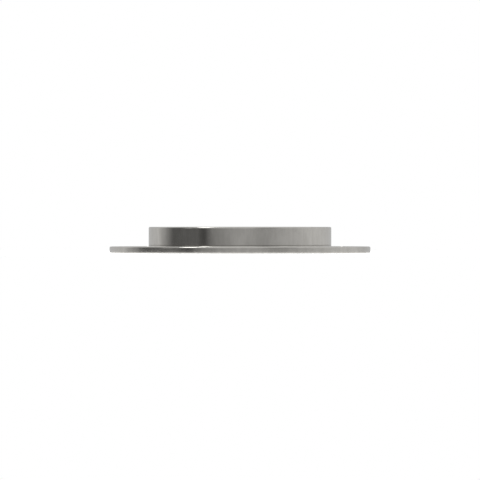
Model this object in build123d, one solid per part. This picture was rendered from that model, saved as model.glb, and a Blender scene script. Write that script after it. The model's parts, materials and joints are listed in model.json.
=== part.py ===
from build123d import *
import math
import os

# Blind flange for a DN 80 bolting pattern, in millimetres. A thin flange plate lies on z = 0 with its flat
# back down, and has a low raised seat on its front. A solid boss disc stands on the seat, flush with it all
# round, and carries the sealing face, which looks up. The boss is centred by two dowel pins and held from the
# back by countersunk socket screws in blind tapped holes.

# Flange plate
flange_diameter = 200.0
flange_thickness = 5.0
flange_front_edge_radius = 1.0
flange_back_edge_radius = 0.8
seat_height = 1.0
seat_cove_radius = 0.7
bolt_circle_diameter = 160.0
bolt_hole_diameter = 18.0
bolt_hole_count = 8
bolt_hole_edge_break = 0.2

# Boss disc
boss_diameter = 140.0
boss_height = 14.0
boss_edge_radius = 1.0
boss_foot_break = 0.2

# M6 x 12 countersunk socket screws
screw_circle_diameter = 110.0
screw_count = 8
screw_diameter = 6.0
screw_length = 12.0
screw_point_break = 0.8
screw_clearance_diameter = 6.6
screw_head_diameter = 12.6
screw_head_rim = 0.3
screw_head_sunk = 0.2
socket_across_flats = 4.0
socket_depth = 2.3
thread_depth = 8.0
tap_drill_diameter = 5.0
tap_drill_depth = 9.5

# 6 x 12 dowel pins
dowel_circle_diameter = 110.0
dowel_count = 2
dowel_diameter = 6.0
dowel_length = 12.0
dowel_end_break = 0.5
dowel_sunk = 0.5
dowel_hole_depth = 7.5

# The boss stands here, on the plate's seat.
seat_top = flange_thickness + seat_height
# The point of a twist drill is a cone of 118 degrees.
drill_point_slope = math.tan(math.radians(90 - 118 / 2))
# The bolt holes straddle the centre lines. The screws lie between them, and the dowels in line with two.
bolt_hole_start = 180 / bolt_hole_count
dowel_start = bolt_hole_start
# The 90 degree head cone would meet the plate's back at this radius, and the clearance hole at this height.
countersink_radius = screw_head_diameter / 2 + screw_head_rim + screw_head_sunk
countersink_depth = countersink_radius - screw_clearance_diameter / 2
head_cone_end = countersink_radius - screw_diameter / 2


def turned(outline):
    """A solid of revolution about Z from a closed outline of (radius, height) points."""
    edges = Polyline(*[(radius, 0, height) for radius, height in outline], close=True)
    return revolve(make_face(edges), Axis.Z)


def round_edge(piece, diameter, height):
    """The circular edge of a turned piece that has this diameter and height."""
    circles = piece.edges().filter_by(GeomType.CIRCLE)
    level = circles.filter_by_position(Axis.Z, height, height)
    return level.filter_by(lambda edge: math.isclose(edge.radius, diameter / 2))


def on_circle(diameter, count, start_angle):
    """Places spaced evenly round a circle about the flange's axis."""
    return PolarLocations(diameter / 2, count, start_angle)


def bolt_hole_cutter():
    """A through hole whose two mouths are broken at 45 degrees."""
    radius = bolt_hole_diameter / 2
    mouth = radius + 2 * bolt_hole_edge_break
    low = -bolt_hole_edge_break
    high = flange_thickness + bolt_hole_edge_break
    return turned([
        (0, low),
        (mouth, low),
        (radius, bolt_hole_edge_break),
        (radius, flange_thickness - bolt_hole_edge_break),
        (mouth, high),
        (0, high),
    ])


def countersink_cutter():
    """The countersunk clearance hole for one screw, open at the plate's back."""
    beyond = 1.0
    clearance = screw_clearance_diameter / 2
    return turned([
        (0, -beyond),
        (countersink_radius + beyond, -beyond),
        (clearance, countersink_depth),
        (clearance, seat_top + beyond),
        (0, seat_top + beyond),
    ])


def tapped_hole_cutter():
    """A blind tapped hole that rises from the boss's foot, with the tap drill's point above it."""
    thread = screw_diameter / 2
    drill = tap_drill_diameter / 2
    foot = seat_top
    return turned([
        (0, foot),
        (thread, foot),
        (thread, foot + thread_depth),
        (drill, foot + thread_depth + (thread - drill)),
        (drill, foot + tap_drill_depth),
        (0, foot + tap_drill_depth + drill * drill_point_slope),
    ])


def dowel_hole_cutter():
    """One dowel hole, right through the plate and blind in the boss."""
    radius = dowel_diameter / 2
    end = seat_top + dowel_hole_depth
    return turned([(0, 0), (radius, 0), (radius, end), (0, end + radius * drill_point_slope)])


def make_flange_plate():
    """The thin disc with the boss's seat, bolt holes, countersunk screw holes and dowel holes."""
    plate = turned([
        (0, 0),
        (flange_diameter / 2, 0),
        (flange_diameter / 2, flange_thickness),
        (boss_diameter / 2, flange_thickness),
        (boss_diameter / 2, seat_top),
        (0, seat_top),
    ])
    plate = fillet(round_edge(plate, boss_diameter, flange_thickness), seat_cove_radius)
    plate = fillet(round_edge(plate, flange_diameter, flange_thickness), flange_front_edge_radius)
    plate = fillet(round_edge(plate, flange_diameter, 0), flange_back_edge_radius)
    plate -= on_circle(bolt_circle_diameter, bolt_hole_count, bolt_hole_start) * bolt_hole_cutter()
    plate -= on_circle(screw_circle_diameter, screw_count, 0) * countersink_cutter()
    plate -= on_circle(dowel_circle_diameter, dowel_count, dowel_start) * dowel_hole_cutter()
    return plate


def make_boss_disc():
    """The thick disc with the sealing face, its rounded rim, broken foot edge and blind holes."""
    foot = seat_top
    top = foot + boss_height
    boss = turned([(0, foot), (boss_diameter / 2, foot), (boss_diameter / 2, top), (0, top)])
    boss = fillet(round_edge(boss, boss_diameter, top), boss_edge_radius)
    boss = chamfer(round_edge(boss, boss_diameter, foot), boss_foot_break)
    boss -= on_circle(screw_circle_diameter, screw_count, 0) * tapped_hole_cutter()
    boss -= on_circle(dowel_circle_diameter, dowel_count, dowel_start) * dowel_hole_cutter()
    return boss


def make_boss_screws():
    """Countersunk socket screws, heads sunk a little below the plate's back."""
    shank = screw_diameter / 2
    face = screw_head_sunk
    tip = face + screw_length
    screw = turned([
        (0, face),
        (screw_head_diameter / 2, face),
        (screw_head_diameter / 2, face + screw_head_rim),
        (shank, head_cone_end),
        (shank, tip - screw_point_break),
        (shank - screw_point_break, tip),
        (0, tip),
    ])
    hexagon = RegularPolygon(socket_across_flats / 2, 6, major_radius=False)
    socket = Pos(0, 0, face) * extrude(hexagon, socket_depth)
    socket_radius = socket_across_flats / 2
    floor = face + socket_depth
    point = turned([(0, floor), (socket_radius, floor), (0, floor + socket_radius * drill_point_slope)])
    screw -= socket + point
    return on_circle(screw_circle_diameter, screw_count, 0) * screw


def make_dowel_pins():
    """Hardened pins with chamfered ends, sunk below the plate's back."""
    radius = dowel_diameter / 2
    low = dowel_sunk
    high = low + dowel_length
    pin = turned([
        (0, low),
        (radius - dowel_end_break, low),
        (radius, low + dowel_end_break),
        (radius, high - dowel_end_break),
        (radius - dowel_end_break, high),
        (0, high),
    ])
    return on_circle(dowel_circle_diameter, dowel_count, dowel_start) * pin


def save(name, pieces):
    """Writes one node, which holds one solid or a group of separate ones."""
    shape = Compound(children=list(pieces)) if isinstance(pieces, (list, ShapeList)) else pieces
    export_step(shape, f"parts/{name}.step")


os.makedirs("parts", exist_ok=True)
save("flange_plate", make_flange_plate())
save("boss_disc", make_boss_disc())
save("boss_screws", make_boss_screws())
save("dowel_pins", make_dowel_pins())
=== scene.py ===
import json
import math

import bmesh
import bpy
from mathutils import Matrix, Vector


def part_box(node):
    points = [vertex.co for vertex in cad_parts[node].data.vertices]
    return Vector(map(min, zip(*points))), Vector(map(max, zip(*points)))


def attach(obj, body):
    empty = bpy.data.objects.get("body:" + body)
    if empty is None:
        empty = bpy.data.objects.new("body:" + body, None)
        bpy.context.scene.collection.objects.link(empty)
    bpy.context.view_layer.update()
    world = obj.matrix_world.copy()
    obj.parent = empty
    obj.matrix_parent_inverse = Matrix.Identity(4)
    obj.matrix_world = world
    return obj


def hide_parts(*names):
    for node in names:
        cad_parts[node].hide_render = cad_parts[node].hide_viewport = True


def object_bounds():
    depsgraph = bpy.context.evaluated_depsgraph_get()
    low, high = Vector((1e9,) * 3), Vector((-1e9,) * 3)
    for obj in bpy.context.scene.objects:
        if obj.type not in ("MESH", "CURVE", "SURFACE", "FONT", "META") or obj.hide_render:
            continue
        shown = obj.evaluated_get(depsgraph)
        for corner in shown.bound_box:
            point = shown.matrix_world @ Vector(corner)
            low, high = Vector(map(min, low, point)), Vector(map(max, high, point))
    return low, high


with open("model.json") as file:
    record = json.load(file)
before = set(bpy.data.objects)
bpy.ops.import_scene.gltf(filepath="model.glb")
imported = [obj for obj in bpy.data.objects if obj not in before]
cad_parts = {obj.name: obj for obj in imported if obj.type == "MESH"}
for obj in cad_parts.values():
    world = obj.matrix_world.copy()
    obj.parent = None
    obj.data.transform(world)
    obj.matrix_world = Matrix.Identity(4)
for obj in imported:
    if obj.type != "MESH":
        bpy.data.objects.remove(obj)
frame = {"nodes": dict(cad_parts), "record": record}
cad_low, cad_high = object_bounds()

# A steel blind flange with a separate boss, lying on its flat back, in metres. The outer sizes come from the
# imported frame. The screws, dowels and their holes take the CAD's sizes, which are named here.

MM = 0.001
plate_low, plate_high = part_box("flange_plate")
boss_low, boss_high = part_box("boss_disc")
screws_low, screws_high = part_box("boss_screws")
dowels_low, dowels_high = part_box("dowel_pins")
bolt_mount = next(m for m in frame["record"]["mounts"] if m["name"] == "bolt_holes")


def ring_radii(node, height):
    """The smallest and largest distance from the axis of a CAD node's points at one height."""
    points = [v.co for v in frame["nodes"][node].data.vertices]
    radii = [math.hypot(p.x, p.y) for p in points if abs(p.z - height) < 0.01 * MM]
    return min(radii), max(radii)


# Flange plate, with the boss's seat
PLATE_RADIUS = plate_high.x
PLATE_BACK = plate_low.z
PLATE_FRONT = bolt_mount["pos_m"][2]
COVE_FOOT, FRONT_FLAT = ring_radii("flange_plate", PLATE_FRONT)
BACK_FLAT = ring_radii("flange_plate", PLATE_BACK)[1]
SIZE = PLATE_RADIUS * 2

# Boss disc
SEAM = boss_low.z
BOSS_RADIUS = boss_high.x
BOSS_TOP = boss_high.z
TOP_FLAT = ring_radii("boss_disc", BOSS_TOP)[1]
BOSS_FOOT = ring_radii("boss_disc", SEAM)[1]

# Bolt holes, which straddle the centre lines
BOLT_RING_RADIUS = bolt_mount["dims"]["pcd_mm"] * MM / 2
BOLT_HOLE_RADIUS = bolt_mount["dims"]["hole_r_mm"] * MM
BOLT_HOLE_COUNT = bolt_mount["dims"]["count"]
BOLT_HOLE_START = math.pi / BOLT_HOLE_COUNT
BOLT_HOLE_BREAK = 0.2 * MM

# Countersunk socket screws, between the bolt holes
SCREW_COUNT = 8
SCREW_HEAD_RADIUS = 6.3 * MM
SCREW_HEAD_RIM = 0.3 * MM
SCREW_RADIUS = 3.0 * MM
SCREW_POINT_BREAK = 0.8 * MM
SCREW_RING_RADIUS = screws_high.x - SCREW_HEAD_RADIUS
SOCKET_ACROSS_FLATS = 4.0 * MM
SOCKET_DEPTH = 2.3 * MM
SOCKET_SIDES = 6
CLEARANCE_RADIUS = 3.3 * MM
TAP_DRILL_RADIUS = 2.5 * MM
THREAD_DEPTH = 8.0 * MM
TAP_DRILL_DEPTH = 9.5 * MM

# Dowel pins, in line with two bolt holes
DOWEL_COUNT = 2
DOWEL_RADIUS = 3.0 * MM
DOWEL_END_BREAK = 0.5 * MM
DOWEL_HOLE_DEPTH = 7.5 * MM
DOWEL_RING_RADIUS = math.hypot(dowels_high.x - DOWEL_RADIUS, dowels_high.y - DOWEL_RADIUS)

# The point of a twist drill is a cone of 118 degrees.
DRILL_POINT_SLOPE = math.tan(math.radians(90 - 118 / 2))


# ---------------------------------------------------------------------- meshes

# Faces round the discs, round the bolt holes, round the small parts and over each rounded edge
DISC_STEPS = 288
BOLT_HOLE_STEPS = 128
SMALL_STEPS = 64
ROUND_STEPS = 8

# Holes are cut by shapes that reach this far past the face they open.
BEYOND = 1.0 * MM
# Corners closer than this are one corner.
WELD_DISTANCE = 0.001 * MM
# Faces that meet at more than this keep a hard edge.
SHARP_ANGLE = math.radians(25)


def arc(radius, height, size, start, end):
    """Outline points of a rounded edge about a centre, from one angle to another, in degrees."""
    turns = [math.radians(start + (end - start) * i / ROUND_STEPS) for i in range(ROUND_STEPS + 1)]
    return [(radius + size * math.cos(turn), height + size * math.sin(turn)) for turn in turns]


def add_turned(bm, outline, steps, centre=(0.0, 0.0)):
    """Adds a closed shape turned about an upright axis, from (radius, height) points that run upwards."""
    rings = []
    for radius, height in outline:
        turns = [2 * math.pi * i / steps for i in range(steps if radius else 1)]
        rings.append([
            bm.verts.new((centre[0] + radius * math.cos(t), centre[1] + radius * math.sin(t), height))
            for t in turns
        ])
    for low, high in zip(rings, rings[1:]):
        for i in range(steps):
            lower = [low[i % len(low)], low[(i + 1) % len(low)]]
            upper = [high[(i + 1) % len(high)], high[i % len(high)]]
            # A ring that is one point makes triangles.
            bm.faces.new(list(dict.fromkeys(lower + upper)))
    if len(rings[0]) > 1:
        bm.faces.new(rings[0][::-1])
    if len(rings[-1]) > 1:
        bm.faces.new(rings[-1])


def add_on_circle(bm, outline, steps, ring_radius, count, start):
    """Adds one turned shape at each of the places spaced round a circle."""
    for i in range(count):
        turn = start + 2 * math.pi * i / count
        add_turned(bm, outline, steps, (ring_radius * math.cos(turn), ring_radius * math.sin(turn)))


def new_piece(name, bm):
    """An object made from a bmesh, which is freed."""
    mesh = bpy.data.meshes.new(name)
    bm.to_mesh(mesh)
    bm.free()
    piece = bpy.data.objects.new(name, mesh)
    bpy.context.scene.collection.objects.link(piece)
    return piece


def settle(piece):
    """Applies the piece's modifiers to its mesh."""
    graph = bpy.context.evaluated_depsgraph_get()
    piece.data = bpy.data.meshes.new_from_object(
        piece.evaluated_get(graph), preserve_all_data_layers=True, depsgraph=graph)
    piece.modifiers.clear()


def weld(piece):
    """Merges the corners that a cut leaves twice."""
    bm = bmesh.new()
    bm.from_mesh(piece.data)
    bmesh.ops.remove_doubles(bm, verts=bm.verts, dist=WELD_DISTANCE)
    bm.to_mesh(piece.data)
    bm.free()


def finish_piece(piece, cutters, node, slot):
    """Cuts the holes, smooths the walls and rounded edges, and puts the piece in the CAD node's place."""
    if cutters:
        holes = piece.modifiers.new("holes", "BOOLEAN")
        holes.operation = "DIFFERENCE"
        holes.solver = "EXACT"
        holes.object = cutters
        settle(piece)
        bpy.data.objects.remove(cutters)
        weld(piece)
    piece.data.polygons.foreach_set("use_smooth", [True] * len(piece.data.polygons))
    piece.data.set_sharp_from_angle(angle=SHARP_ANGLE)
    normals = piece.modifiers.new("normals", "WEIGHTED_NORMAL")
    normals.keep_sharp = True
    settle(piece)
    piece.name = slot.replace("steel", "piece")
    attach(piece, "root")
    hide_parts(node)
    return piece


def make_plate():
    """The thin disc with the boss's seat, bolt holes, countersunk screw holes and dowel holes."""
    front_round = PLATE_RADIUS - FRONT_FLAT
    back_round = PLATE_RADIUS - BACK_FLAT
    cove = COVE_FOOT - BOSS_RADIUS
    bm = bmesh.new()
    add_turned(bm, [
        (BACK_FLAT, PLATE_BACK),
        *arc(BACK_FLAT, PLATE_BACK + back_round, back_round, -90, 0)[1:],
        *arc(FRONT_FLAT, PLATE_FRONT - front_round, front_round, 0, 90),
        *arc(COVE_FOOT, PLATE_FRONT + cove, cove, 270, 180),
        (BOSS_RADIUS, SEAM),
    ], DISC_STEPS)
    plate = new_piece("plate", bm)

    mouth = BOLT_HOLE_RADIUS + BOLT_HOLE_BREAK * 2
    bm = bmesh.new()
    add_on_circle(bm, [
        (mouth, PLATE_BACK - BOLT_HOLE_BREAK),
        (BOLT_HOLE_RADIUS, PLATE_BACK + BOLT_HOLE_BREAK),
        (BOLT_HOLE_RADIUS, PLATE_FRONT - BOLT_HOLE_BREAK),
        (mouth, PLATE_FRONT + BOLT_HOLE_BREAK),
    ], BOLT_HOLE_STEPS, BOLT_RING_RADIUS, BOLT_HOLE_COUNT, BOLT_HOLE_START)
    # The 90 degree head cone would meet the plate's back at this radius.
    sink = SCREW_HEAD_RADIUS + SCREW_HEAD_RIM + screws_low.z
    add_on_circle(bm, [
        (sink + BEYOND, PLATE_BACK - BEYOND),
        (CLEARANCE_RADIUS, PLATE_BACK + sink - CLEARANCE_RADIUS),
        (CLEARANCE_RADIUS, SEAM + BEYOND),
    ], SMALL_STEPS, SCREW_RING_RADIUS, SCREW_COUNT, 0.0)
    add_on_circle(bm, [
        (DOWEL_RADIUS, PLATE_BACK - BEYOND),
        (DOWEL_RADIUS, SEAM + BEYOND),
    ], SMALL_STEPS, DOWEL_RING_RADIUS, DOWEL_COUNT, BOLT_HOLE_START)
    return finish_piece(plate, new_piece("plate_holes", bm), "flange_plate", "plate_steel")


def make_boss():
    """The thick disc with the sealing face, its rounded rim, broken foot edge and blind holes."""
    top_round = BOSS_RADIUS - TOP_FLAT
    bm = bmesh.new()
    add_turned(bm, [
        (BOSS_FOOT, SEAM),
        (BOSS_RADIUS, SEAM + BOSS_RADIUS - BOSS_FOOT),
        *arc(TOP_FLAT, BOSS_TOP - top_round, top_round, 0, 90),
    ], DISC_STEPS)
    boss = new_piece("boss", bm)

    bm = bmesh.new()
    drill_end = SEAM + TAP_DRILL_DEPTH
    add_on_circle(bm, [
        (SCREW_RADIUS, SEAM - BEYOND),
        (SCREW_RADIUS, SEAM + THREAD_DEPTH),
        (TAP_DRILL_RADIUS, SEAM + THREAD_DEPTH + SCREW_RADIUS - TAP_DRILL_RADIUS),
        (TAP_DRILL_RADIUS, drill_end),
        (0.0, drill_end + TAP_DRILL_RADIUS * DRILL_POINT_SLOPE),
    ], SMALL_STEPS, SCREW_RING_RADIUS, SCREW_COUNT, 0.0)
    hole_end = SEAM + DOWEL_HOLE_DEPTH
    add_on_circle(bm, [
        (DOWEL_RADIUS, SEAM - BEYOND),
        (DOWEL_RADIUS, hole_end),
        (0.0, hole_end + DOWEL_RADIUS * DRILL_POINT_SLOPE),
    ], SMALL_STEPS, DOWEL_RING_RADIUS, DOWEL_COUNT, BOLT_HOLE_START)
    return finish_piece(boss, new_piece("boss_holes", bm), "boss_disc", "boss_steel")


def make_screws():
    """Countersunk screws with hexagon sockets."""
    face = screws_low.z
    tip = screws_high.z
    cone_end = face + SCREW_HEAD_RIM + SCREW_HEAD_RADIUS - SCREW_RADIUS
    bm = bmesh.new()
    add_on_circle(bm, [
        (SCREW_HEAD_RADIUS, face),
        (SCREW_HEAD_RADIUS, face + SCREW_HEAD_RIM),
        (SCREW_RADIUS, cone_end),
        (SCREW_RADIUS, tip - SCREW_POINT_BREAK),
        (SCREW_RADIUS - SCREW_POINT_BREAK, tip),
    ], SMALL_STEPS, SCREW_RING_RADIUS, SCREW_COUNT, 0.0)
    screws = new_piece("screws", bm)

    corner = SOCKET_ACROSS_FLATS / 2 / math.cos(math.pi / SOCKET_SIDES)
    floor = face + SOCKET_DEPTH
    bm = bmesh.new()
    add_on_circle(bm, [
        (corner, face - BEYOND),
        (corner, floor),
        (0.0, floor + corner * DRILL_POINT_SLOPE),
    ], SOCKET_SIDES, SCREW_RING_RADIUS, SCREW_COUNT, 0.0)
    return finish_piece(screws, new_piece("sockets", bm), "boss_screws", "screw_steel")


def make_dowels():
    """Ground pins with chamfered ends."""
    low = dowels_low.z
    high = dowels_high.z
    bm = bmesh.new()
    add_on_circle(bm, [
        (DOWEL_RADIUS - DOWEL_END_BREAK, low),
        (DOWEL_RADIUS, low + DOWEL_END_BREAK),
        (DOWEL_RADIUS, high - DOWEL_END_BREAK),
        (DOWEL_RADIUS - DOWEL_END_BREAK, high),
    ], SMALL_STEPS, DOWEL_RING_RADIUS, DOWEL_COUNT, BOLT_HOLE_START)
    return finish_piece(new_piece("dowels", bm), None, "dowel_pins", "dowel_steel")


# ---------------------------------------------------------------- node helpers

class Nodes:
    """Short calls that add shader nodes to one tree and link them."""

    def __init__(self, tree):
        self.tree = tree

    def add(self, kind, **settings):
        node = self.tree.nodes.new(kind)
        for key, value in settings.items():
            setattr(node, key, value)
        return node

    def feed(self, socket, value):
        if isinstance(value, bpy.types.NodeSocket):
            self.tree.links.new(value, socket)
        else:
            socket.default_value = value

    def math(self, operation, a, b=0.0, c=0.0):
        node = self.add("ShaderNodeMath", operation=operation)
        for socket, value in zip(node.inputs, (a, b, c)):
            self.feed(socket, value)
        return node.outputs[0]

    def times(self, a, b):
        return self.math("MULTIPLY", a, b)

    def plus(self, a, b):
        return self.math("ADD", a, b)

    def minus(self, a, b):
        return self.math("SUBTRACT", a, b)

    def larger(self, a, b):
        return self.math("MAXIMUM", a, b)

    def size(self, a):
        return self.math("ABSOLUTE", a)

    def length(self, a, b):
        return self.math("SQRT", self.plus(self.times(a, a), self.times(b, b)))

    def ramp(self, value, low, high, to_low=0.0, to_high=1.0):
        """A smooth step of value between low and high."""
        node = self.add("ShaderNodeMapRange", interpolation_type="SMOOTHSTEP")
        for socket, number in zip(node.inputs, (value, low, high, to_low, to_high)):
            self.feed(socket, number)
        return node.outputs["Result"]

    def near(self, distance, reach):
        """1 at no distance, falling to 0 at reach."""
        return self.ramp(distance, 0.0, reach, 1.0, 0.0)

    def vector(self, x, y, z):
        node = self.add("ShaderNodeCombineXYZ")
        for socket, value in zip(node.inputs, (x, y, z)):
            self.feed(socket, value)
        return node.outputs[0]

    def parts(self, vector):
        node = self.add("ShaderNodeSeparateXYZ")
        self.feed(node.inputs[0], vector)
        return node.outputs

    def noise(self, vector, scale, detail=2.0, roughness=0.5, distortion=0.0):
        node = self.add("ShaderNodeTexNoise")
        self.feed(node.inputs["Vector"], vector)
        node.inputs["Scale"].default_value = scale
        node.inputs["Detail"].default_value = detail
        node.inputs["Roughness"].default_value = roughness
        node.inputs["Distortion"].default_value = distortion
        return node.outputs[0]

    def mix_colour(self, factor, a, b):
        node = self.add("ShaderNodeMix", data_type="RGBA")
        self.feed(node.inputs[0], factor)
        self.feed(node.inputs[6], a)
        self.feed(node.inputs[7], b)
        return node.outputs[2]

    def mix(self, factor, a, b):
        node = self.add("ShaderNodeMix", data_type="FLOAT")
        self.feed(node.inputs[0], factor)
        self.feed(node.inputs[2], a)
        self.feed(node.inputs[3], b)
        return node.outputs[0]

    def bump(self, height, depth, below=None):
        """A bump in which a height of 1 stands for depth metres."""
        node = self.add("ShaderNodeBump")
        node.inputs["Strength"].default_value = 1.0
        node.inputs["Distance"].default_value = depth
        self.feed(node.inputs["Height"], height)
        if below:
            self.feed(node.inputs["Normal"], below)
        return node.outputs[0]

    def from_nearest(self, x, y, ring_radius, count, start):
        """How far a point is, along X and Y, from the nearest of the places spaced round a circle."""
        step = 2 * math.pi / count
        steps = self.math("ROUND", self.times(self.minus(self.math("ARCTAN2", y, x), start), 1 / step))
        turn = self.plus(self.times(steps, step), start)
        across = self.minus(x, self.times(self.math("COSINE", turn), ring_radius))
        along = self.minus(y, self.times(self.math("SINE", turn), ring_radius))
        return across, along


class SteelMaterial(Nodes):
    """One steel: its places and masks, and the shader that the finishes feed."""

    def __init__(self, name):
        self.material = bpy.data.materials.new(name)
        self.material.use_nodes = True
        self.material.node_tree.nodes.clear()
        super().__init__(self.material.node_tree)
        coordinates = self.add("ShaderNodeTexCoord")
        self.place = coordinates.outputs["Object"]
        self.x, self.y, self.z = self.parts(self.place)
        self.radius = self.length(self.x, self.y)
        upright = self.size(self.parts(coordinates.outputs["Normal"])[2])
        self.facing = self.ramp(upright, 0.6, 0.95)

    def edge(self, radius, height, reach):
        """1 along a round edge of the turned shape, falling to 0 at reach from it."""
        return self.near(self.length(self.minus(self.radius, radius), self.minus(self.z, height)), reach)

    def shade(self, colour, roughness, normal, tangent, stretch):
        shader = self.add("ShaderNodeBsdfPrincipled")
        shader.inputs["Metallic"].default_value = 1.0
        shader.inputs["Anisotropic"].default_value = stretch
        shader.inputs["Anisotropic Rotation"].default_value = 0.25
        self.feed(shader.inputs["Base Color"], colour)
        self.feed(shader.inputs["Roughness"], roughness)
        self.feed(shader.inputs["Normal"], normal)
        self.feed(shader.inputs["Tangent"], tangent)
        output = self.add("ShaderNodeOutputMaterial")
        self.feed(output.inputs["Surface"], shader.outputs[0])


# ------------------------------------------------------------------- materials

STEEL = (0.598, 0.582, 0.550, 1.0)
STEEL_SHADE = (0.520, 0.505, 0.475, 1.0)
WORN_EDGE = (0.660, 0.645, 0.615, 1.0)
DRILLED = (0.430, 0.415, 0.390, 1.0)
# Painted shade for the crease along the seam between plate and boss
SEAM_PAINTED_SHADE = (0.230, 0.220, 0.200, 1.0)
SCREW = (0.520, 0.520, 0.515, 1.0)
SCREW_SHADE = (0.400, 0.400, 0.400, 1.0)
# Painted shade in the screws' sockets
SOCKET_PAINTED_SHADE = (0.160, 0.158, 0.155, 1.0)
DOWEL = (0.640, 0.640, 0.640, 1.0)
DOWEL_SHADE = (0.540, 0.540, 0.540, 1.0)


# Depths of the marks on turned and drilled steel
TOOL_RING_DEPTH = 0.012 * MM
FEED_MARK_DEPTH = 0.0006 * MM
SMEAR_DEPTH = 0.003 * MM
DRILL_MARK_DEPTH = 0.03 * MM
# Depths of the marks on the screws and dowels
SMALL_RING_DEPTH = 0.006 * MM
GRIME_DEPTH = 0.004 * MM

# How far the worn brightness reaches from an edge, and from a bolt hole's mouth along the hole and across
EDGE_WEAR = 0.9 * MM
MOUTH_WEAR_ALONG = 0.8 * MM
MOUTH_WEAR_ACROSS = 0.7 * MM
# How far the painted shade reaches from the seam
SEAM_REACH = 0.45 * MM

# Least roughness of turned walls, turned faces and drilled holes, and the roughness of worn edges, the
# seam and the screws' sockets
WALL_ROUGH = 0.07
FACE_ROUGH = 0.18
DRILLED_ROUGH = 0.30
WORN_ROUGH = 0.10
SEAM_ROUGH = 0.40
SOCKET_ROUGH = 0.45


def turned_steel(name, edges, drilled=False):
    """Steel turned about the flange's axis: walls nearly polished, faces with tool rings, worn edges."""
    n = SteelMaterial(name)
    angle = n.math("ARCTAN2", n.y, n.x)

    # Tool rings run round the faces, and drift a little so that they don't close perfectly.
    ring_place = n.vector(n.radius, 0.0, n.times(angle, 0.0004))
    fine_rings = n.noise(ring_place, 2400.0, 1.0)
    broad_rings = n.noise(ring_place, 420.0, 3.0, 0.6)
    # Feed marks run round the walls, and smears stand upright on them.
    feed_marks = n.noise(n.vector(0.0, n.times(angle, 0.0002), n.z), 4200.0, 1.0)
    smears = n.noise(n.vector(n.x, n.y, n.times(n.z, 0.3)), 260.0, 4.0, 0.55, 0.6)
    patches = n.noise(n.place, 38.0, 4.0, 0.6, 0.3)
    # Hairline scratches are the thin middle band of a stretched noise.
    scratch_noise = n.noise(n.vector(n.times(n.x, 0.12), n.y, n.z), 500.0, 2.0, 0.5, 1.2)
    scratches = n.times(n.near(n.size(n.minus(scratch_noise, 0.5)), 0.012), n.ramp(patches, 0.45, 0.62))

    face_tone = n.plus(n.times(broad_rings, 0.5), n.plus(n.times(fine_rings, 0.25), n.times(patches, 0.25)))
    wall_tone = n.plus(n.times(smears, 0.55), n.times(patches, 0.45))
    tone = n.mix(n.facing, wall_tone, face_tone)
    colour = n.mix_colour(n.ramp(tone, 0.33, 0.67), STEEL_SHADE, STEEL)
    wall = n.plus(WALL_ROUGH, n.times(smears, 0.06))
    face = n.plus(FACE_ROUGH, n.plus(n.times(broad_rings, 0.14), n.times(patches, 0.10)))
    rough = n.plus(n.mix(n.facing, wall, face), n.times(scratches, 0.08))

    # The handled edges are a little brighter, with small nicks.
    worn = 0.0
    for radius, height in edges:
        worn = n.larger(worn, n.edge(radius, height, EDGE_WEAR))
    chips = n.noise(n.place, 260.0, 3.0, 0.6)
    worn = n.times(worn, n.ramp(chips, 0.38, 0.62, 0.3, 0.8))

    ring_height = n.minus(n.plus(n.times(fine_rings, 0.25), n.times(broad_rings, 0.75)), 0.5)
    normal = n.bump(n.times(ring_height, n.facing), TOOL_RING_DEPTH)
    feed_height = n.times(n.minus(feed_marks, 0.5), n.minus(1.0, n.facing))
    normal = n.bump(feed_height, FEED_MARK_DEPTH, normal)
    normal = n.bump(n.minus(smears, n.times(scratches, 0.6)), SMEAR_DEPTH, normal)

    if drilled:
        across, along = n.from_nearest(n.x, n.y, BOLT_RING_RADIUS, BOLT_HOLE_COUNT, BOLT_HOLE_START)
        from_centre = n.length(across, along)
        hole_wall = n.math("LESS_THAN", from_centre, BOLT_HOLE_RADIUS + 0.02 * MM)
        from_mouth = n.size(n.minus(from_centre, BOLT_HOLE_RADIUS + BOLT_HOLE_BREAK / 2))
        mouth = n.near(from_mouth, MOUTH_WEAR_ACROSS)
        middle = (PLATE_FRONT + PLATE_BACK) / 2
        from_faces = n.size(n.minus(n.size(n.minus(n.z, middle)), PLATE_FRONT - middle))
        worn = n.larger(worn, n.times(mouth, n.near(from_faces, MOUTH_WEAR_ALONG)))
        # A drill leaves coarse rings and a dull, darker wall.
        drill_marks = n.noise(n.vector(n.times(across, 0.05), n.times(along, 0.05), n.z), 2600.0, 3.0, 0.65)
        colour = n.mix_colour(n.times(hole_wall, n.ramp(drill_marks, 0.2, 0.7, 1.0, 0.5)), colour, DRILLED)
        rough = n.mix(hole_wall, rough, n.plus(DRILLED_ROUGH, n.times(drill_marks, 0.15)))
        normal = n.bump(n.times(n.minus(drill_marks, 0.5), hole_wall), DRILL_MARK_DEPTH, normal)

    colour = n.mix_colour(n.times(worn, 0.75), colour, WORN_EDGE)
    rough = n.mix(n.times(worn, 0.6), rough, WORN_ROUGH)
    # Painted shade darkens the colour in the crease along the seam between plate and boss, which is also
    # rougher there.
    seam_shade = n.edge(BOSS_RADIUS, SEAM, SEAM_REACH)
    colour = n.mix_colour(n.times(seam_shade, n.ramp(patches, 0.3, 0.6, 0.1, 0.4)), colour, SEAM_PAINTED_SHADE)
    rough = n.mix(n.times(seam_shade, 0.5), rough, SEAM_ROUGH)
    tangent = n.add("ShaderNodeTangent", direction_type="RADIAL", axis="Z").outputs[0]
    n.shade(colour, rough, normal, tangent, 0.65)
    return n


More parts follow.
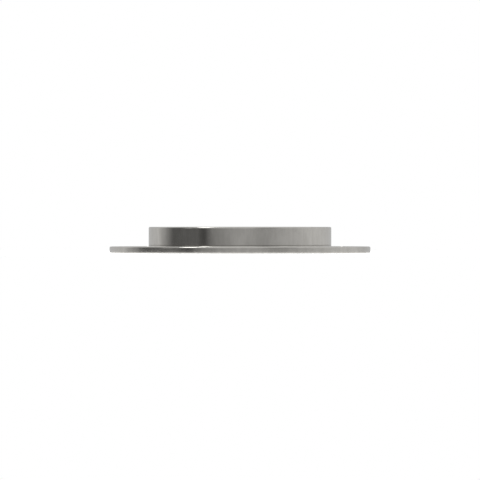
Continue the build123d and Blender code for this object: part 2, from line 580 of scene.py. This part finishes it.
def own_axis_steel(name, ring_radius, count, start, light, dark, base_rough):
    """Small round parts spaced round a circle, each with tool rings about its own axis."""
    n = SteelMaterial(name)
    across, along = n.from_nearest(n.x, n.y, ring_radius, count, start)
    from_axis = n.length(across, along)
    fine = n.noise(n.vector(from_axis, 0.0, n.times(n.radius, 0.02)), 6000.0, 2.0)
    around = n.noise(n.vector(n.times(across, 0.1), n.times(along, 0.1), n.z), 5000.0, 2.0)
    rings = n.mix(n.facing, around, fine)
    grime = n.noise(n.place, 600.0, 4.0, 0.6)
    colour = n.mix_colour(n.ramp(n.plus(n.times(rings, 0.5), n.times(grime, 0.5)), 0.35, 0.65), dark, light)
    rough = n.plus(base_rough, n.plus(n.times(rings, 0.08), n.times(grime, 0.10)))
    normal = n.bump(rings, SMALL_RING_DEPTH)
    normal = n.bump(grime, GRIME_DEPTH, normal)
    tangent = n.vector(n.times(along, -1.0), across, 0.0)
    return n, from_axis, colour, rough, normal, tangent


def screw_steel():
    """Countersunk screws: turned heads with a worn rim, and sockets with painted shade that darkens with
    depth.
    """
    n, from_axis, colour, rough, normal, tangent = own_axis_steel(
        "screw_steel", SCREW_RING_RADIUS, SCREW_COUNT, 0.0, SCREW, SCREW_SHADE, 0.20)
    rim = n.near(n.size(n.minus(from_axis, SCREW_HEAD_RADIUS)), 0.5 * MM)
    colour = n.mix_colour(n.times(rim, 0.6), colour, WORN_EDGE)
    # The socket lies deeper than the head's face, and its colour darkens with depth: painted shade in the
    # recess.
    socket_depth_shade = n.ramp(n.minus(n.z, screws_low.z), 0.05 * MM, 1.5 * MM)
    socket = n.times(socket_depth_shade, n.math("LESS_THAN", from_axis, 2.4 * MM))
    colour = n.mix_colour(socket, colour, SOCKET_PAINTED_SHADE)
    rough = n.mix(socket, rough, SOCKET_ROUGH)
    n.shade(colour, rough, normal, tangent, 0.5)
    return n


def dowel_steel():
    """Hardened pins with a ground finish."""
    n, from_axis, colour, rough, normal, tangent = own_axis_steel(
        "dowel_steel", DOWEL_RING_RADIUS, DOWEL_COUNT, BOLT_HOLE_START, DOWEL, DOWEL_SHADE, 0.10)
    n.shade(colour, rough, normal, tangent, 0.4)
    return n


PLATE_EDGES = [(PLATE_RADIUS, PLATE_FRONT), (PLATE_RADIUS, PLATE_BACK), (BOSS_RADIUS, PLATE_FRONT)]
BOSS_EDGES = [(BOSS_RADIUS, BOSS_TOP)]
make_plate().data.materials.append(turned_steel("plate_steel", PLATE_EDGES, True).material)
make_boss().data.materials.append(turned_steel("boss_steel", BOSS_EDGES).material)
make_screws().data.materials.append(screw_steel().material)
make_dowels().data.materials.append(dowel_steel().material)


# ----------------------------------------------------------------------- stage

FLOOR_SEEN = (0.85, 0.85, 0.85, 1.0)
FLOOR_MIRRORED = (0.78, 0.78, 0.78, 1.0)
FLOOR_RADIUS = SIZE * 4
FLOOR_DROP = 0.1 * MM
FLOOR_STEPS = 128

# Where the floor fades out, from full to gone: as the camera sees it, and as the metal mirrors it
FADE_SEEN = (SIZE * 0.8, SIZE * 3.0)
FADE_MIRRORED = (SIZE * 0.54, SIZE * 0.8)

# How much the floor glows for the camera, and for the metal close under the plate's edge, and how close
GLOW_SEEN = 0.35
GLOW_CONTACT = 0.45
CONTACT_REACH = 4 * MM


def make_floor():
    """A pale round floor just under the flange that fades into the white of the studio."""
    turns = [2 * math.pi * i / FLOOR_STEPS for i in range(FLOOR_STEPS)]
    points = [(FLOOR_RADIUS * math.cos(t), FLOOR_RADIUS * math.sin(t), -FLOOR_DROP) for t in turns]
    mesh = bpy.data.meshes.new("floor")
    mesh.from_pydata(points, [], [list(range(FLOOR_STEPS))])
    floor = bpy.data.objects.new("floor", mesh)
    bpy.context.scene.collection.objects.link(floor)
    material = bpy.data.materials.new("floor_white")
    material.use_nodes = True
    material.node_tree.nodes.clear()
    n = Nodes(material.node_tree)
    light_path = n.add("ShaderNodeLightPath")
    seen = light_path.outputs["Is Camera Ray"]
    length = n.add("ShaderNodeVectorMath", operation="LENGTH")
    n.feed(length.inputs[0], n.add("ShaderNodeTexCoord").outputs["Object"])
    away = length.outputs["Value"]
    # The metal mirrors a greyer floor than the white that the camera sees.
    paper = n.add("ShaderNodeBsdfDiffuse")
    n.feed(paper.inputs["Color"], n.mix_colour(seen, FLOOR_MIRRORED, FLOOR_SEEN))
    # A ring of floor round the plate's edge glows, seen only by the metal and not by the camera: a painted
    # highlight on the plate's lower edge.
    edge_glow = n.near(n.size(n.minus(away, PLATE_RADIUS)), CONTACT_REACH)
    glow = n.add("ShaderNodeEmission")
    n.feed(glow.inputs["Strength"], n.mix(seen, n.times(edge_glow, GLOW_CONTACT), GLOW_SEEN))
    lit = n.add("ShaderNodeAddShader")
    n.feed(lit.inputs[0], paper.outputs[0])
    n.feed(lit.inputs[1], glow.outputs[0])
    # It mirrors only the floor close by, and the studio beyond it.
    fade = n.mix(seen, n.ramp(away, *FADE_MIRRORED), n.ramp(away, *FADE_SEEN))
    # From below there is no floor, so that the flange's back and its screws show and are lit.
    close_by = n.math("LESS_THAN", light_path.outputs["Ray Length"], FLOOR_DROP * 5)
    screws = n.math("LESS_THAN", away, SCREW_RING_RADIUS + SCREW_HEAD_RADIUS * 1.5)
    below = n.larger(n.add("ShaderNodeNewGeometry").outputs["Backfacing"], n.larger(close_by, screws))
    blend = n.add("ShaderNodeMixShader")
    n.feed(blend.inputs[0], n.larger(fade, below))
    n.feed(blend.inputs[1], lit.outputs[0])
    n.feed(blend.inputs[2], n.add("ShaderNodeBsdfTransparent").outputs[0])
    output = n.add("ShaderNodeOutputMaterial")
    n.feed(output.inputs["Surface"], blend.outputs[0])
    mesh.materials.append(material)


# Brightness of the studio's walls by direction from the flange: 0 degrees is towards the camera, 90 is +X.
# A dark screen stands at the front left, the room on the camera's side is grey, and the rest is pale.
STUDIO_WALLS = [
    (-180, 0.52),
    (-150, 0.62),
    (-126, 0.70),
    (-94, 0.13),
    (-56, 0.16),
    (-46, 0.08),
    (-35, 0.29),
    (0, 0.50),
    (30, 0.41),
    (60, 0.54),
    (105, 0.73),
    (125, 0.72),
    (150, 0.62),
    (180, 0.52),
]

# How bright the studio is overhead, and the heights between which the walls give way to it.
CEILING_LEVEL = 0.75
CEILING_RISE = (0.22, 0.6)

# Round patches of the studio above the walls: direction, angles where the patch is full and gone, and level.
STUDIO_PATCHES = [
    ((-0.75, 0.15, 0.64), 12, 30, 0.22),
    ((0.52, -0.62, 0.58), 8, 20, 0.22),
    ((-0.88, -0.30, 0.36), 4, 8, 1.3),
]


def make_world():
    """The studio round the flange, white where the camera sees it directly."""
    world = bpy.data.worlds.new("studio")
    bpy.context.scene.world = world
    world.use_nodes = True
    world.node_tree.nodes.clear()
    n = Nodes(world.node_tree)
    x, y, z = n.parts(n.add("ShaderNodeTexCoord").outputs["Generated"])
    turn = n.math("ARCTAN2", x, n.times(y, -1.0))
    walls = n.add("ShaderNodeValToRGB")
    n.feed(walls.inputs[0], n.math("MULTIPLY_ADD", turn, 0.5 / math.pi, 0.5))
    stops = walls.color_ramp.elements
    while len(stops) < len(STUDIO_WALLS):
        stops.new(0.5)
    for stop, (degrees, level) in zip(stops, STUDIO_WALLS):
        stop.position = (degrees + 180) / 360
        stop.color = (level, level, level, 1.0)
    level = n.mix(n.ramp(n.size(z), *CEILING_RISE), walls.outputs[0], CEILING_LEVEL)
    for way, full, gone, brightness in STUDIO_PATCHES:
        dot = n.add("ShaderNodeVectorMath", operation="DOT_PRODUCT")
        n.feed(dot.inputs[0], n.vector(x, y, z))
        dot.inputs[1].default_value = Vector(way).normalized()
        inside = n.ramp(dot.outputs["Value"], math.cos(math.radians(gone)), math.cos(math.radians(full)))
        level = n.mix(inside, level, brightness)
    shown = n.mix(n.add("ShaderNodeLightPath").outputs["Is Camera Ray"], level, 1.0)
    background = n.add("ShaderNodeBackground")
    n.feed(background.inputs["Color"], shown)
    output = n.add("ShaderNodeOutputWorld")
    n.feed(output.inputs["Surface"], background.outputs[0])


def make_light(name, way, along, distance, width, length, brightness):
    """A rectangular soft light that looks at the flange from a direction, its length along another."""
    light = bpy.data.lights.new(name, "AREA")
    light.shape = "RECTANGLE"
    light.size = width
    light.size_y = length
    # A matt panel's power is its radiance times pi times its area.
    light.energy = brightness * math.pi * width * length
    lamp = bpy.data.objects.new(name, light)
    bpy.context.scene.collection.objects.link(lamp)
    way = Vector(way).normalized()
    side = Vector(along).cross(way).normalized()
    lamp.matrix_world = Matrix((side, way.cross(side), way)).transposed().to_4x4()
    lamp.location = way * distance
    lamp.visible_camera = False
    return lamp


def make_lights():
    """A strip that glints on the edges, and a broad ceiling light that the metal doesn't mirror."""
    make_light(
        "strip", way=(-0.36, 0.15, 0.92), along=(0.39, 0.92, 0.0),
        distance=1.8, width=0.27, length=1.5, brightness=3.0)
    ceiling = make_light(
        "ceiling", way=(-0.2, -0.2, 1.0), along=(0.0, 1.0, 0.0),
        distance=2.0, width=2.0, length=2.0, brightness=3.2)
    ceiling.visible_glossy = False


# A very long lens, almost level with the flange, whose view is this much wider than the plate
LENS = 1000.0
SENSOR_WIDTH = 36.0
VIEW_WIDTH = SIZE * 1.84
CAMERA_ELEVATION = math.radians(0.2)


def make_camera():
    """The camera in front of the flange."""
    data = bpy.data.cameras.new("camera")
    data.lens = LENS
    data.sensor_width = SENSOR_WIDTH
    distance = VIEW_WIDTH / (SENSOR_WIDTH / LENS)
    elevation = CAMERA_ELEVATION
    centre = (cad_low + cad_high) / 2
    back = Vector((0.0, -math.cos(elevation), math.sin(elevation)))
    camera = bpy.data.objects.new("camera", data)
    bpy.context.scene.collection.objects.link(camera)
    camera.location = centre + back * distance
    camera.rotation_mode = "QUATERNION"
    camera.rotation_quaternion = back.to_track_quat("Z", "Y")
    data.clip_start = 0.1
    data.clip_end = distance * 3
    bpy.context.scene.camera = camera


make_floor()
make_world()
make_lights()
make_camera()
bpy.context.scene.view_settings.view_transform = "Standard"
